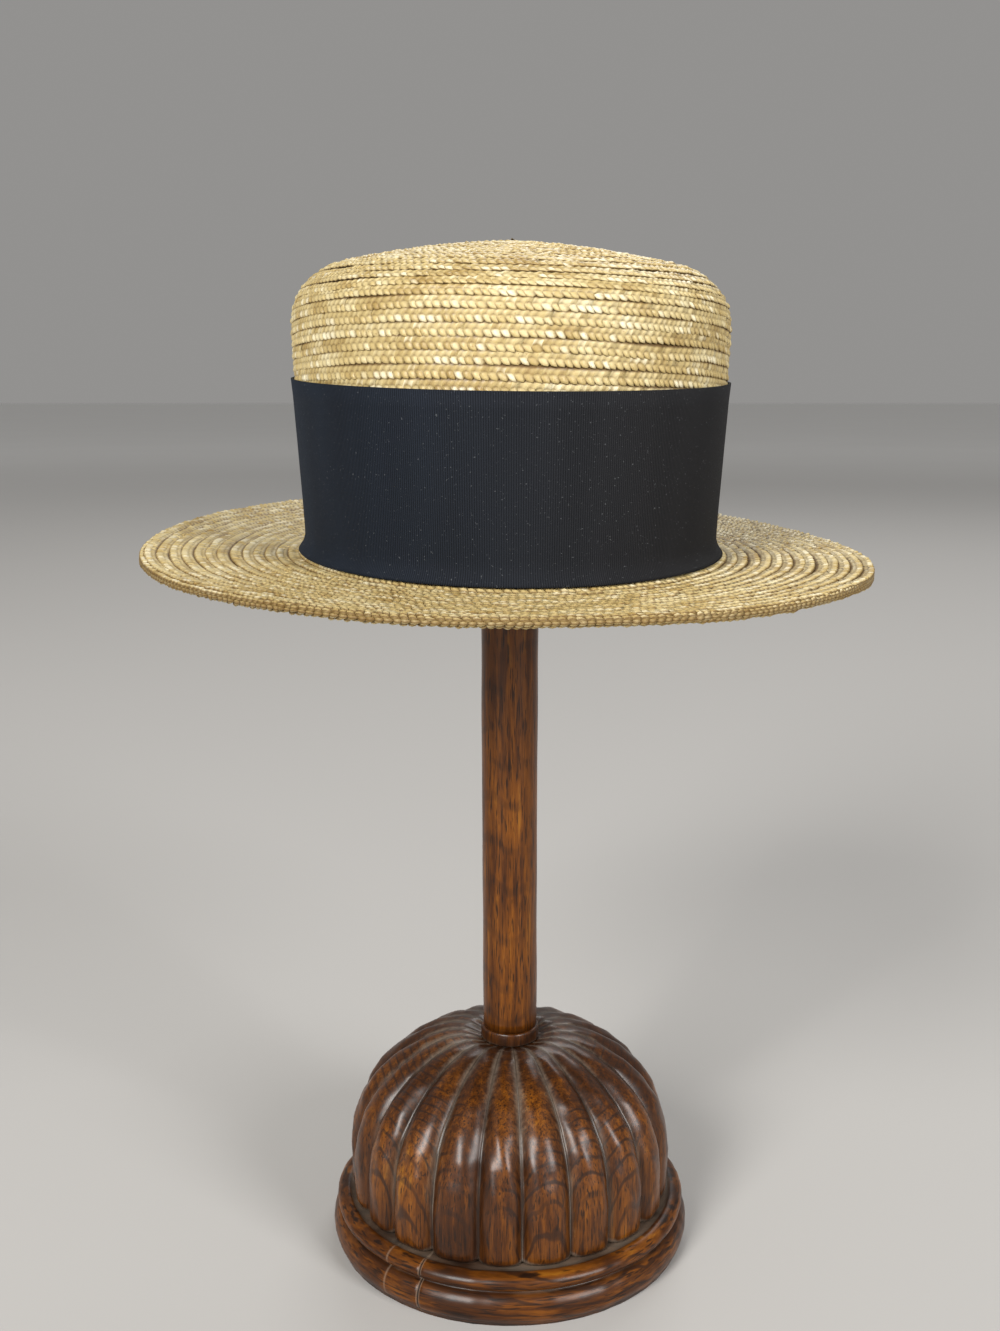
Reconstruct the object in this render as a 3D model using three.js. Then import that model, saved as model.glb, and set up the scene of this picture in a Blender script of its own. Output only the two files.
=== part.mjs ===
// Straw boater hat resting on a turned and carved wooden hat stand.
// Millimetres, +Z up. Origin: centre of the stand's foot. The hat's front faces -Y.
import * as THREE from 'three';

// Stand: a foot ring, a gadrooned dome, a collar, a post and a hidden head.
const footRadius = 75.3;            // widest bead of the foot ring
const footBeadHeight = 13;
const footContactRadius = 73.2;     // edge of the flat that it stands on
const upperBeadRadius = 73.4;
const beadReach = 5;                // how far both beads swell out
const ledgeHeight = 20.3;           // flat on top of the foot ring
const ledgeRadius = 68;
const lobeCount = 21;
const lobeSteps = 4;                // facets across one lobe
const firstGroove = 1.2;            // degrees from +X, so that no groove is dead in front
const grooveDepth = 4.2;            // at the widest part of the dome
const collarRadius = 12;
const collarHeight = 5.4;
const collarSwell = 1.4;            // how far its edge is rounded
const postFootRadius = 11.2;
const postTopRadius = 11.8;
const headRadius = 40;              // hidden disc under the crown's tip
const headHeight = 17;
const headClearance = 0.5;          // below the middle of the tip

// Hat: sizes of the outer straw surface.
const ovalStretch = 17;             // how much longer than wide every row is, at each end
const strawThickness = 2;
const brimHalfWidth = 139.4;
const brimCentreX = -1.4;           // the brim sits a little to the left of the crown
const rootHalfWidth = 85;           // where the brim's fillet runs out flat
const rootHeight = 291.7;           // top of the brim there
const baseTiltY = 0.038;            // the base plane rises towards the back
const baseTiltX = -0.0115;          // and falls towards the right
// Rim above the base plane: mean height, more at the back than the front, less at the right, and
// the once-repeated sway of an old straw brim.
const rimRise = { mean: 2.8, back: 1, right: -1.9, ends: -1.2, corner: -1 };
const filletReach = 9.2;            // leaves the brim's collar a gap inside the crown's foot
const filletRise = 8;
const rimRound = 0.6;               // how far a plait's edge is rounded off
const edgeBraidWidth = 8;           // second row of plait under the rim
const edgeTuck = 0.2;               // it sits this far inside the rim
const ribbonThickness = 1;
const ribbonBottom = 1.3;           // above the base plane
const ribbonFlareFrom = 8;          // the ribbon spreads over the fillet below this height
const ribbonFlare = 2.8;
const ribbonTopHeight = 357.5;
const ribbonTopTiltY = 0.046;
const gap = 0.3;                    // between pieces that touch
const around = 64;                  // facets round the hat

// Crown profile, bottom to top: half width, height on the axis, and how much higher a point
// 100 mm in front of the axis is.
const crownRows = [
  { halfWidth: 78.6, height: 297.9, frontRise: -3.8 },
  { halfWidth: 79.2, height: 310, frontRise: -2 },
  { halfWidth: 80.7, height: 332, frontRise: 1 },
  { halfWidth: 82.5, height: 356, frontRise: 3 },
  { halfWidth: 83.4, height: 374, frontRise: 3.2 },
  { halfWidth: 83.0, height: 381, frontRise: 2.8 },
  { halfWidth: 81.8, height: 385, frontRise: 2 },
  { halfWidth: 80.2, height: 388.5, frontRise: 0.6 },
  { halfWidth: 77.4, height: 392.2, frontRise: -1 },
  { halfWidth: 73.8, height: 395.5, frontRise: -2 },
  { halfWidth: 69.5, height: 398.2, frontRise: -2.5 },
];
const tipHeight = 407.3;            // middle of the tip
const tipPower = 2.1;               // the tip falls off as this power of the half width
const tipRows = [56, 40, 24];       // half widths of the rows inside the last crown row
const tipRise = -2.5;

// Dome profile at a lobe's crest, bottom to top, with the groove's depth as a share of grooveDepth.
const domeRows = [
  { radius: 65.0, height: 0, groove: 0.75 },
  { radius: 66.4, height: 1.6, groove: 0.85 },
  { radius: 67.1, height: 8, groove: 0.95 },
  { radius: 67.4, height: 18, groove: 1 },
  { radius: 66.0, height: 29, groove: 1 },
  { radius: 62.3, height: 39.8, groove: 1 },
  { radius: 57.0, height: 48, groove: 0.95 },
  { radius: 48.5, height: 56.2, groove: 0.85 },
  { radius: 38.0, height: 62.6, groove: 0.7 },
  { radius: 28.5, height: 66, groove: 0.5 },
  { radius: 20.0, height: 66.8, groove: 0.32 },
  { radius: 13.0, height: 64.8, groove: 0.1 },
];

// Straw, ribbon and wood finishes.
const finishes = {
  straw: { color: 0xd8b468, roughness: 0.55 },
  ribbon: { color: 0x15171b, roughness: 0.85 },
  wood: { color: 0x6b3a17, roughness: 0.4 },
};

// Closed body from a stack of rings that all hold the same number of points. An apex closes each
// end; with none, the last ring joins back to the first.
function ringSolid(rings, firstApex, lastApex) {
  const count = rings[0].length;
  const points = rings.flat();
  const faces = [];
  const joined = firstApex ? rings.length - 1 : rings.length;
  for (let ring = 0; ring < joined; ring += 1) {
    const here = ring * count;
    const next = ((ring + 1) % rings.length) * count;
    for (let i = 0; i < count; i += 1) {
      const j = (i + 1) % count;
      faces.push(here + i, next + i, next + j, here + i, next + j, here + j);
    }
  }
  if (firstApex) {
    const last = (rings.length - 1) * count;
    points.push(firstApex, lastApex);
    for (let i = 0; i < count; i += 1) {
      const j = (i + 1) % count;
      faces.push(points.length - 2, i, j);
      faces.push(points.length - 1, last + j, last + i);
    }
  }
  const geometry = new THREE.BufferGeometry();
  geometry.setAttribute('position', new THREE.Float32BufferAttribute(points.flat(), 3));
  geometry.setIndex(faces);
  geometry.computeVertexNormals();
  return geometry;
}

// Oval of a given half width: every such oval runs parallel to the others. The support function
// is halfWidth + stretch * sin^2, so it is halfWidth wide and halfWidth + stretch long, each side.
function ovalPoint(halfWidth, turn) {
  const sine = Math.sin(turn);
  const cosine = Math.cos(turn);
  const x = cosine * (halfWidth - ovalStretch * sine * sine);
  const y = sine * (halfWidth + ovalStretch * (1 + cosine * cosine));
  return [x, y];
}

function basePlane(x, y) {
  return rootHeight + baseTiltY * y + baseTiltX * x;
}

// A ring round the hat, anticlockwise seen from above, with the height worked out from each
// point's place. Stacks of rings run down the outside first, so their faces point out.
function hatRing(halfWidth, heightAt, centreX = 0) {
  const ring = [];
  for (let i = 0; i < around; i += 1) {
    const turn = (2 * Math.PI * i) / around;
    const [x, y] = ovalPoint(halfWidth, turn);
    ring.push([x + centreX, y, heightAt(x, y, turn)]);
  }
  return ring;
}

function crownHeight(row, x, y) {
  return row.height + (row.frontRise * -y) / 100 + baseTiltX * x;
}

// The crown's full profile, from the middle of the tip down to the bottom edge.
function crownProfile() {
  const shoulder = crownRows[crownRows.length - 1];
  const drop = tipHeight - shoulder.height;
  const tip = tipRows.map((halfWidth) => ({
    halfWidth,
    height: tipHeight - drop * (halfWidth / shoulder.halfWidth) ** tipPower,
    frontRise: tipRise,
  })).reverse();
  return [...tip, ...[...crownRows].reverse()];
}

// The same profile moved inwards by the straw's thickness, square to the profile.
function innerProfile(profile) {
  return profile.map((row, i) => {
    const before = profile[Math.max(i - 1, 0)];
    const after = profile[Math.min(i + 1, profile.length - 1)];
    const run = after.halfWidth - before.halfWidth;
    const rise = after.height - before.height;
    const length = Math.hypot(run, rise);
    return {
      halfWidth: row.halfWidth + (strawThickness * rise) / length,
      height: row.height - (strawThickness * run) / length,
      frontRise: row.frontRise,
    };
  });
}

function crown() {
  const outer = crownProfile();
  const inner = innerProfile(outer);
  inner[inner.length - 1].height = outer[outer.length - 1].height;
  const rings = [...outer, ...inner.reverse()].map((row) => (
    hatRing(row.halfWidth, (x, y) => crownHeight(row, x, y))
  ));
  return ringSolid(rings, [0, 0, tipHeight], [0, 0, tipHeight - strawThickness]);
}

// Half width of the crown's wall at a height, found by running down the profile.
function wallHalfWidth(height, y) {
  const rows = crownRows;
  for (let i = 1; i < rows.length; i += 1) {
    const low = rows[i - 1];
    const high = rows[i];
    const lowZ = low.height + (low.frontRise * -y) / 100;
    const highZ = high.height + (high.frontRise * -y) / 100;
    if (height <= highZ) {
      const share = Math.max(0, (height - lowZ) / (highZ - lowZ));
      return low.halfWidth + share * (high.halfWidth - low.halfWidth);
    }
  }
  return rows[rows.length - 1].halfWidth;
}

// Ribbon band: follows the wall, and spreads over the brim's fillet at its lower edge.
function ribbonRing(share, outwards) {
  const ring = [];
  for (let i = 0; i < around; i += 1) {
    const turn = (2 * Math.PI * i) / around;
    const [guideX, guideY] = ovalPoint(crownRows[2].halfWidth, turn);
    const bottom = basePlane(guideX, guideY) + ribbonBottom;
    const top = ribbonTopHeight + ribbonTopTiltY * guideY + baseTiltX * guideX;
    const z = bottom + share * (top - bottom);
    const level = z - basePlane(guideX, guideY);
    const low = Math.max(0, ribbonFlareFrom - level) / (ribbonFlareFrom - ribbonBottom);
    const wall = wallHalfWidth(z - baseTiltX * guideX, guideY);
    const [x, y] = ovalPoint(wall + gap + outwards + ribbonFlare * low * low, turn);
    ring.push([x, y, z]);
  }
  return ring;
}

function ribbon() {
  const shares = [1, 0.75, 0.5, 0.25, 0.1, 0.05, 0];
  const outside = shares.map((share) => ribbonRing(share, ribbonThickness));
  const inside = shares.map((share) => ribbonRing(share, 0)).reverse();
  return ringSolid([...outside, ...inside]);
}

// Brim height: the base plane, plus a rise towards the rim that differs round the hat.
function brimRise(halfWidth, turn) {
  const out = Math.max(0, (halfWidth - rootHalfWidth) / (brimHalfWidth - rootHalfWidth));
  const { mean, back, right, ends, corner } = rimRise;
  const rim = mean + back * Math.sin(turn) + right * Math.cos(turn)
    + ends * Math.cos(2 * turn) + corner * Math.sin(2 * turn);
  return rim * out ** 1.5;
}

function brimRing(halfWidth, above) {
  const out = Math.max(0, (halfWidth - rootHalfWidth) / (brimHalfWidth - rootHalfWidth));
  return hatRing(
    halfWidth,
    (x, y, turn) => basePlane(x, y) + brimRise(halfWidth, turn) + above,
    brimCentreX * out,
  );
}

// One quarter of an ellipse from the upright collar to the flat brim.
function filletRows(thickness, steps) {
  const rows = [];
  for (let i = 0; i <= steps; i += 1) {
    const angle = (Math.PI / 2) * (i / steps);
    rows.push([
      rootHalfWidth - (filletReach + thickness) * Math.cos(angle),
      filletRise - (filletRise + thickness) * Math.sin(angle),
    ]);
  }
  return rows;
}

function brim() {
  const flat = [98, 112, 126];
  const top = [
    ...filletRows(0, 4),
    ...flat.map((halfWidth) => [halfWidth, 0]),
    [brimHalfWidth - rimRound, 0],
  ];
  const rim = [[brimHalfWidth, -strawThickness / 2]];
  const under = [
    [brimHalfWidth - rimRound, -strawThickness],
    ...flat.reverse().map((halfWidth) => [halfWidth, -strawThickness]),
    ...filletRows(strawThickness, 4).reverse(),
  ];
  const rings = [...top, ...rim, ...under].map(([halfWidth, above]) => brimRing(halfWidth, above));
  return ringSolid(rings);
}

function brimEdgeBraid() {
  const high = -strawThickness - gap;
  const low = high - strawThickness;
  const outside = brimHalfWidth - edgeTuck;
  const inside = outside - edgeBraidWidth;
  const section = [
    [inside + rimRound, high],
    [outside - rimRound, high],
    [outside, (high + low) / 2],
    [outside - rimRound, low],
    [inside + rimRound, low],
    [inside, (high + low) / 2],
  ];
  return ringSolid(section.map(([halfWidth, above]) => brimRing(halfWidth, above)));
}

function lathe(profile, steps) {
  const points = profile.map(([radius, height]) => new THREE.Vector2(radius, height));
  const geometry = new THREE.LatheGeometry(points, steps);
  geometry.rotateX(Math.PI / 2);
  return geometry;
}

// Points of an arc from one angle to another, in degrees, about a centre in the profile's plane.
function arc(centreRadius, centreHeight, reach, rise, fromAngle, toAngle, steps) {
  const points = [];
  for (let i = 0; i <= steps; i += 1) {
    const angle = ((fromAngle + ((toAngle - fromAngle) * i) / steps) * Math.PI) / 180;
    points.push([centreRadius + reach * Math.cos(angle), centreHeight + rise * Math.sin(angle)]);
  }
  return points;
}

// Foot ring: a full bead below, a smaller one above it, and a flat ledge on top.
function footRing() {
  const half = footBeadHeight / 2;
  const upper = (ledgeHeight - footBeadHeight) / 2;
  return lathe([
    [0, 0],
    [footContactRadius, 0],
    ...arc(footRadius - beadReach, half, beadReach, half, -52, 62, 5),
    ...arc(upperBeadRadius - beadReach, footBeadHeight + upper, beadReach, upper, -34, 80, 5),
    [ledgeRadius, ledgeHeight],
    [0, ledgeHeight],
  ], 64);
}

// Gadrooned dome: each lobe is a half round between two sharp grooves.
function dome() {
  const count = lobeCount * lobeSteps;
  const rings = [...domeRows].reverse().map((row) => {
    const ring = [];
    for (let i = 0; i < count; i += 1) {
      const turn = THREE.MathUtils.degToRad(firstGroove) + (2 * Math.PI * i) / count;
      const across = Math.abs(Math.cos((Math.PI * i) / lobeSteps));
      const radius = row.radius - grooveDepth * row.groove * across ** 2;
      ring.push([radius * Math.cos(turn), radius * Math.sin(turn), row.height]);
    }
    return ring;
  });
  const top = domeRows[domeRows.length - 1].height;
  return ringSolid(rings, [0, 0, top], [0, 0, 0]);
}

function collar() {
  const half = collarHeight / 2;
  return lathe([
    [0, 0],
    ...arc(collarRadius - collarSwell, half, collarSwell, half, -75, 75, 4),
    [0, collarHeight],
  ], 32);
}

function post(height) {
  return lathe([[0, 0], [postFootRadius, 0], [postTopRadius, height], [0, height]], 24);
}

// Hidden head: a plain disc with a round edge and a low domed top.
function head() {
  const edge = 5;
  return lathe([
    [0, 0],
    [postTopRadius + 4, 0],
    ...arc(headRadius - edge, edge + 4, edge, edge, -80, 70, 5),
    [headRadius * 0.5, headHeight - 1],
    [0, headHeight],
  ], 40);
}

function piece(name, geometry, finish, z = 0) {
  const material = new THREE.MeshStandardMaterial({ ...finishes[finish], metalness: 0 });
  const mesh = new THREE.Mesh(geometry, material);
  mesh.name = name;
  mesh.position.z = z;
  return mesh;
}

const domeFoot = ledgeHeight + gap;
const collarFoot = domeFoot + domeRows[domeRows.length - 1].height + gap;
const postFoot = collarFoot + collarHeight + gap;
const headFoot = tipHeight - strawThickness - headClearance - headHeight;
const postHeight = headFoot - gap - postFoot;

const stand = new THREE.Group();
stand.add(
  piece('stand_foot_ring', footRing(), 'wood'),
  piece('stand_dome', dome(), 'wood', domeFoot),
  piece('stand_collar', collar(), 'wood', collarFoot),
  piece('stand_post', post(postHeight), 'wood', postFoot),
  piece('stand_head', head(), 'wood', headFoot),
);

const hat = new THREE.Group();
hat.add(
  piece('crown', crown(), 'straw'),
  piece('brim', brim(), 'straw'),
  piece('brim_edge_braid', brimEdgeBraid(), 'straw'),
  piece('ribbon_band', ribbon(), 'ribbon'),
);

const model = new THREE.Group();
model.add(stand, hat);

export default model;
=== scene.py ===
# Straw boater on a carved wooden hat stand. Shapes are worked out in millimetres and put into
# the meshes in metres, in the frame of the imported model.
import math

import bmesh
import bpy
import numpy as np
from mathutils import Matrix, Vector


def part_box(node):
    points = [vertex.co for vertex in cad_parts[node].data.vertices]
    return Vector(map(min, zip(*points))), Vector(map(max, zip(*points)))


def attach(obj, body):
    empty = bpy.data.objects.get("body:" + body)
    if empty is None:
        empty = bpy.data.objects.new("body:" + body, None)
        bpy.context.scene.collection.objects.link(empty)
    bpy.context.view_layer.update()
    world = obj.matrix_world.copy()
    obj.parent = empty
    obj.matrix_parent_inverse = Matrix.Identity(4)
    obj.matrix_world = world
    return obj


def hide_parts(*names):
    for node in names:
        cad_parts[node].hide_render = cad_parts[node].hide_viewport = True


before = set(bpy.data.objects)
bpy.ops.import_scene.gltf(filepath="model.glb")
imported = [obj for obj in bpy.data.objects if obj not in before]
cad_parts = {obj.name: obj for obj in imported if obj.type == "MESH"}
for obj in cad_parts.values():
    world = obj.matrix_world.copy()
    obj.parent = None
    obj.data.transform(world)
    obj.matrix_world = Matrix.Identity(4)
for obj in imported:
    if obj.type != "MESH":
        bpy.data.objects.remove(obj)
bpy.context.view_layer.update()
millimetre = 0.001


def boxOf(node):
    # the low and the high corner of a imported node's box, in millimetres
    return np.array(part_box(node)) / millimetre


def gridQuads(rows, columns, wrapRows=False, wrapColumns=False):
    # quad (r, c) joins points (r, c), (r+1, c), (r+1, c+1), (r, c+1) of a rows x columns grid
    r = np.arange(rows if wrapRows else rows - 1)[:, None]
    c = np.arange(columns if wrapColumns else columns - 1)[None, :]
    below, right = (r + 1) % rows, (c + 1) % columns
    return np.stack([r * columns + c, below * columns + c,
                     below * columns + right, r * columns + right], -1).reshape(-1, 4)


def addMesh(name, points, quads, merge=0.0, pointValues=None, faceValues=None, uv=None):
    # points in millimetres; the faces are turned over if the closed volume comes out negative
    a, b, c, d = (points[quads[:, k]] for k in range(4))
    volume = (np.cross(a, b) * c).sum() + (np.cross(a, c) * d).sum()
    if volume < 0:
        quads = quads[:, ::-1]
    mesh = bpy.data.meshes.new(name)
    mesh.vertices.add(len(points))
    mesh.vertices.foreach_set("co", (points * millimetre).astype(np.float32).ravel())
    mesh.loops.add(quads.size)
    mesh.loops.foreach_set("vertex_index", quads.astype(np.int32).ravel())
    mesh.polygons.add(len(quads))
    mesh.polygons.foreach_set("loop_start", np.arange(0, quads.size, 4, dtype=np.int32))
    mesh.polygons.foreach_set("use_smooth", np.ones(len(quads), dtype=bool))
    mesh.update(calc_edges=True)
    for domain, table in (("POINT", pointValues), ("FACE", faceValues)):
        for key, values in (table or {}).items():
            numbers = mesh.attributes.new(key, "FLOAT", domain)
            numbers.data.foreach_set("value", values.astype(np.float32).ravel())
    if uv is not None:
        layer = mesh.uv_layers.new(name="map")
        layer.data.foreach_set("uv", uv[quads].astype(np.float32).ravel())
    if merge:
        joined = bmesh.new()
        joined.from_mesh(mesh)
        bmesh.ops.remove_doubles(joined, verts=joined.verts, dist=merge * millimetre)
        joined.to_mesh(mesh)
        joined.free()
    piece = bpy.data.objects.new(name, mesh)
    bpy.context.scene.collection.objects.link(piece)
    return piece


def settle(piece, material, node):
    # gives a piece its material and slot, hangs it from the root, and hides the imported node that it stands
    # for
    piece.data.materials.append(material)
    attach(piece, "root")
    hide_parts(node)
    return piece


def smoothCurve(table, step, reach):
    # a polyline resampled at an even step along its first two columns, each column then averaged
    # over a bell-shaped window about reach long, with its two ends kept
    table = np.asarray(table, float)
    length = np.concatenate([[0], np.cumsum(np.hypot(*np.diff(table[:, :2], axis=0).T))])
    places = np.arange(0, length[-1] + step, step)
    lines = np.stack([np.interp(places, length, column) for column in table.T], -1)
    half = max(1, int(reach / step / 2))
    window = np.hanning(2 * half + 3)[1:-1]
    window /= window.sum()
    first = 2 * lines[:1] - lines[half:0:-1]
    last = 2 * lines[-1:] - lines[-2:-half - 2:-1]
    padded = np.concatenate([first, lines, last])
    smooth = np.stack([np.convolve(column, window, "valid") for column in padded.T], -1)
    smooth[0], smooth[-1] = lines[0], lines[-1]
    length = np.concatenate([[0], np.cumsum(np.hypot(*np.diff(smooth[:, :2], axis=0).T))])
    return length, smooth


def waves(x, seed, count=5, low=1.0, high=4.0):
    # a sum of sine waves, about 1 in size: whole frequencies spread evenly from low to high for one
    # full turn of x, each with a random size and phase
    dice = np.random.default_rng(seed)
    total = 0
    for frequency in np.linspace(low, high, count).round():
        total = total + dice.normal() * np.sin(2 * np.pi * frequency * x + dice.uniform(0, 6.3))
    return total / math.sqrt(count)


hat = {
    "ovalStretch": 17.0,        # an oval's half length less its half width
    "baseTiltY": 0.038,         # rise of the hat's foot for each mm towards the back
    "baseTiltX": -0.0115,       # and towards the right
    "tipHeight": 407.3,
    "tipPower": 1.9,            # how square the tip's dome is
    "crownSway": 0.5,
    "rootHalfWidth": 85.0,
    "rootHeight": 291.7,
    "brimHalfWidth": 139.4,
    "brimCentreX": -1.4,
    "filletReach": 9.2,         # the curve from the brim up into the crown: how far in,
    "filletRise": 8.0,          # and how far up
    "rimSway": 0.35,
    "rimRise": (2.8, 1.0, -1.9, -1.2, -1.0),   # mean, back, right, ends, corners
    # half width, height, rise in front per 100 mm: from the edge of the tip down to the foot
    "crownRows": (
        (69.5, 398.2, -2.5), (73.8, 395.5, -2.0), (77.4, 392.2, -1.0), (80.2, 388.5, 0.6),
        (81.8, 385.0, 2.0), (83.0, 381.0, 2.8), (83.4, 374.0, 3.2), (82.5, 356.0, 3.0),
        (80.7, 332.0, 1.0), (79.2, 310.0, -2.0), (78.6, 297.9, -3.8)),
}


def ovalTable(halfWidths, steps, fine=2880):
    # Ovals from the support function t + c |sin a|^p, with p = 1 + 0.8 t / c up to 2, then walked
    # at an even pace. Returns x and y for each half width and step, and each oval's length.
    stretch = hat["ovalStretch"]
    angle = (np.arange(fine + 1) / fine * 2 * np.pi)[None, :]
    t = np.asarray(halfWidths, float)[:, None]
    power = np.minimum(2, 1 + 0.8 * t / stretch)
    sine, cosine = np.sin(angle), np.cos(angle)
    size = np.abs(sine) + 1e-9
    support = t + stretch * size ** power
    slope = stretch * power * size ** (power - 1) * np.sign(sine) * cosine
    x = support * cosine - slope * sine
    y = support * sine + slope * cosine
    walked = np.concatenate([np.zeros((len(t), 1)), np.cumsum(np.hypot(np.diff(x), np.diff(y)), 1)], 1)
    share = np.arange(steps + 1) / steps
    table = np.empty((len(t), steps + 1, 2))
    for k in range(len(t)):
        table[k, :, 0] = np.interp(share * walked[k, -1], walked[k], x[k])
        table[k, :, 1] = np.interp(share * walked[k, -1], walked[k], y[k])
    return table, walked[:, -1]


class Shell:
    # A surface given by a profile carried round the hat. Its two parameters are the distance down
    # the profile and the share of a turn, anticlockwise from the right seen from above.
    def __init__(self, places, halfWidths, heightAt, centreX=None, steps=720):
        self.places, self.steps = places, steps
        table, self.girth = ovalTable(halfWidths, steps)
        share = np.arange(steps + 1) / steps
        x = table[:, :, 0] + (0 if centreX is None else centreX[:, None])
        y = table[:, :, 1]
        z = heightAt(np.broadcast_to(np.arange(len(places))[:, None], x.shape), x, y, share[None, :])
        self.grid = np.stack([x, y, z], -1)
        along = np.gradient(self.grid, places, axis=0)
        around = np.roll(self.grid[:, :-1], -1, 1) - np.roll(self.grid[:, :-1], 1, 1)
        around = np.concatenate([around, around[:, :1]], 1)
        normal = np.cross(along, around)
        self.normal = normal / (np.linalg.norm(normal, axis=-1, keepdims=True) + 1e-12)

    def sample(self, grid, place, share):
        # bilinear reading of a grid over the two parameters
        last = len(self.places) - 1.001
        row = np.clip(np.interp(place, self.places, np.arange(len(self.places))), 0, last)
        column = (share % 1.0) * self.steps
        i, j = row.astype(int), column.astype(int)
        u, v = (row - i)[..., None], (column - j)[..., None]
        return ((1 - u) * (1 - v) * grid[i, j] + (1 - u) * v * grid[i, j + 1]
                + u * (1 - v) * grid[i + 1, j] + u * v * grid[i + 1, j + 1])

    def point(self, place, share, lift):
        # the surface's point at the two parameters, moved along its normal by lift
        normal = self.sample(self.normal, place, share)
        normal /= np.linalg.norm(normal, axis=-1, keepdims=True) + 1e-12
        return self.sample(self.grid, place, share) + normal * lift[..., None]


def crownShell():
    # tip: height falls off as a power of the half width; then the table of the shoulder and wall
    rows = hat["crownRows"]
    edge, shoulder, rise = rows[0]
    drop = hat["tipHeight"] - shoulder
    tipWidths = np.linspace(0, edge, 24)[:-1]
    tipHeights = hat["tipHeight"] - drop * (tipWidths / edge) ** hat["tipPower"]
    tip = np.stack([tipWidths, tipHeights, np.full(len(tipWidths), rise)], -1)
    length, line = smoothCurve(np.concatenate([tip, rows]), 0.8, 7.0)

    def height(row, x, y, share):
        sway = hat["crownSway"] * waves(share, 11) * np.clip((line[row, 0] - 20) / 60, 0, 1)
        return line[row, 1] - line[row, 2] * y / 100 + hat["baseTiltX"] * x + sway
    return Shell(length, line[:, 0], height)


def brimShell():
    # a quarter ellipse fillet, then flat, with a rim that rises a little differently all round
    root, reach, rise = hat["rootHalfWidth"], hat["filletReach"], hat["filletRise"]
    quarter = np.linspace(0, np.pi / 2, 10)
    fillet = np.stack([root - reach * np.cos(quarter), rise - rise * np.sin(quarter)], -1)
    flat = np.stack([np.linspace(root, hat["brimHalfWidth"] + 1, 30)[1:], np.zeros(29)], -1)
    length, line = smoothCurve(np.concatenate([fillet, flat]), 0.8, 3.0)
    out = np.clip((line[:, 0] - root) / (hat["brimHalfWidth"] - root), 0, 1.05)
    mean, back, right, ends, corners = hat["rimRise"]

    def height(row, x, y, share):
        turn = 2 * np.pi * share
        rim = (mean + back * np.sin(turn) + right * np.cos(turn) + ends * np.cos(2 * turn)
               + corners * np.sin(2 * turn) + hat["rimSway"] * waves(share, 23, 4, 4, 9))
        base = hat["rootHeight"] + hat["baseTiltY"] * y + hat["baseTiltX"] * x
        return base + line[row, 1] + rim * out[row] ** 1.5
    return Shell(length, line[:, 0], height, hat["brimCentreX"] * out)


# One row across the plait, as a closed section. "across" is 0 at the upper edge that shows and 1
# at the lower edge; "lift" is the height off the hat's surface and "bulge" how far each straw
# swells there. The part below 0 is tucked under the row before. The crease value is painted shade,
# how dark it is there in the creases along a row's edges and middle; "gap" is the painted shade in
# the gaps between straws, and "scale" a straw's length against the usual one.
section = {
    "across": np.array([-0.34, 0.00, 0.16, 0.36, 0.50, 0.64, 0.80, 0.94, 1.00, 0.90, -0.25]),
    "lift": np.array([-1.15, -0.38, -0.20, -0.13, -0.27, -0.12, 0.02, -0.05, -0.36, -0.85, -1.85]),
    "bulge": np.array([0.00, 0.14, 0.30, 0.28, 0.06, 0.28, 0.38, 0.32, 0.20, -0.08, -0.12]),
    "creaseShade": np.array([1.00, 0.95, 0.08, 0.06, 0.40, 0.06, 0.00, 0.10, 0.95, 0.80, 0.40]),
    "scale": 1.0,
    "gap": 0.8,
}
# the brim's straws are a little shorter and fatter at the lip, with more painted shade in the gaps
brimSection = {
    "across": np.array([-0.34, 0.00, 0.20, 0.44, 0.60, 0.84, 1.00, 0.92, -0.25]),
    "lift": np.array([-1.25, -0.50, -0.24, -0.20, -0.13, -0.08, -0.48, -1.15, -2.05]),
    "bulge": np.array([0.00, 0.12, 0.30, 0.10, 0.34, 0.40, 0.24, -0.08, -0.12]),
    "creaseShade": np.array([1.00, 1.00, 0.16, 0.32, 0.06, 0.06, 1.00, 0.60, 0.40]),
    "scale": 0.94,
    "gap": 1.1,
}
straw = {
    "rowPitch": 4.45,
    "scalePitch": 2.9,
    # where the mesh is cut along one straw, how far each line of straws swells there, and how far
    # the lower edge reaches down
    "cuts": (0.0, 0.11, 0.45, 0.82),
    "lowerSwell": (0.0, 0.74, 1.0, 0.66),
    "upperSwell": (0.95, 0.85, 0.30, 0.80),
    "reach": (-0.7, 0.0, 0.35, 0.55),
    "lowerSlant": 0.95,         # how far a straw leans along the row, towards its edge
    "upperSlant": 1.1,
    "zigzag": 0.09,             # how far the two lines of straws reach into each other
    "scallop": 0.14,            # how far the lower edge's reach goes, in rows
    "swell": 2.0,               # how much a straw swells from its waist to its middle
    "waist": 1.1,               # and how far it is drawn in at the waist
    "unevenness": 0.22,         # how much one straw's bulge differs from another's
    "unevenShift": 1.1,         # how far that moves a straw along the row
    "unevenLift": 0.4,          # and how far it lifts one
    "jitter": 0.10,             # how unevenly the straws are spaced, in mm
    "drift": 0.9,               # the same over nine straws
    "wander": ((0.035, 5), (0.07, 17)),     # sway of a row's edge in rows, and over how many straws
    "endSink": 0.9,             # how far the last turn sinks as the one before closes over it
    "gapShadeShare": (0.95, 0.90),   # share of the section's painted gap shade on the lower and the upper line
    "ownTone": 0.55,
    "sharedTone": 0.75,
    "sharedGlint": 1.1,
    "upperDulling": 0.7,        # the upper line of straws glints this much less
    "coarseRows": [0, 2, 6, 8, 9, 10],      # rows of the section that a hidden plait keeps
    "coarseStretch": 1.8,       # how much longer its straws are
}


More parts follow.
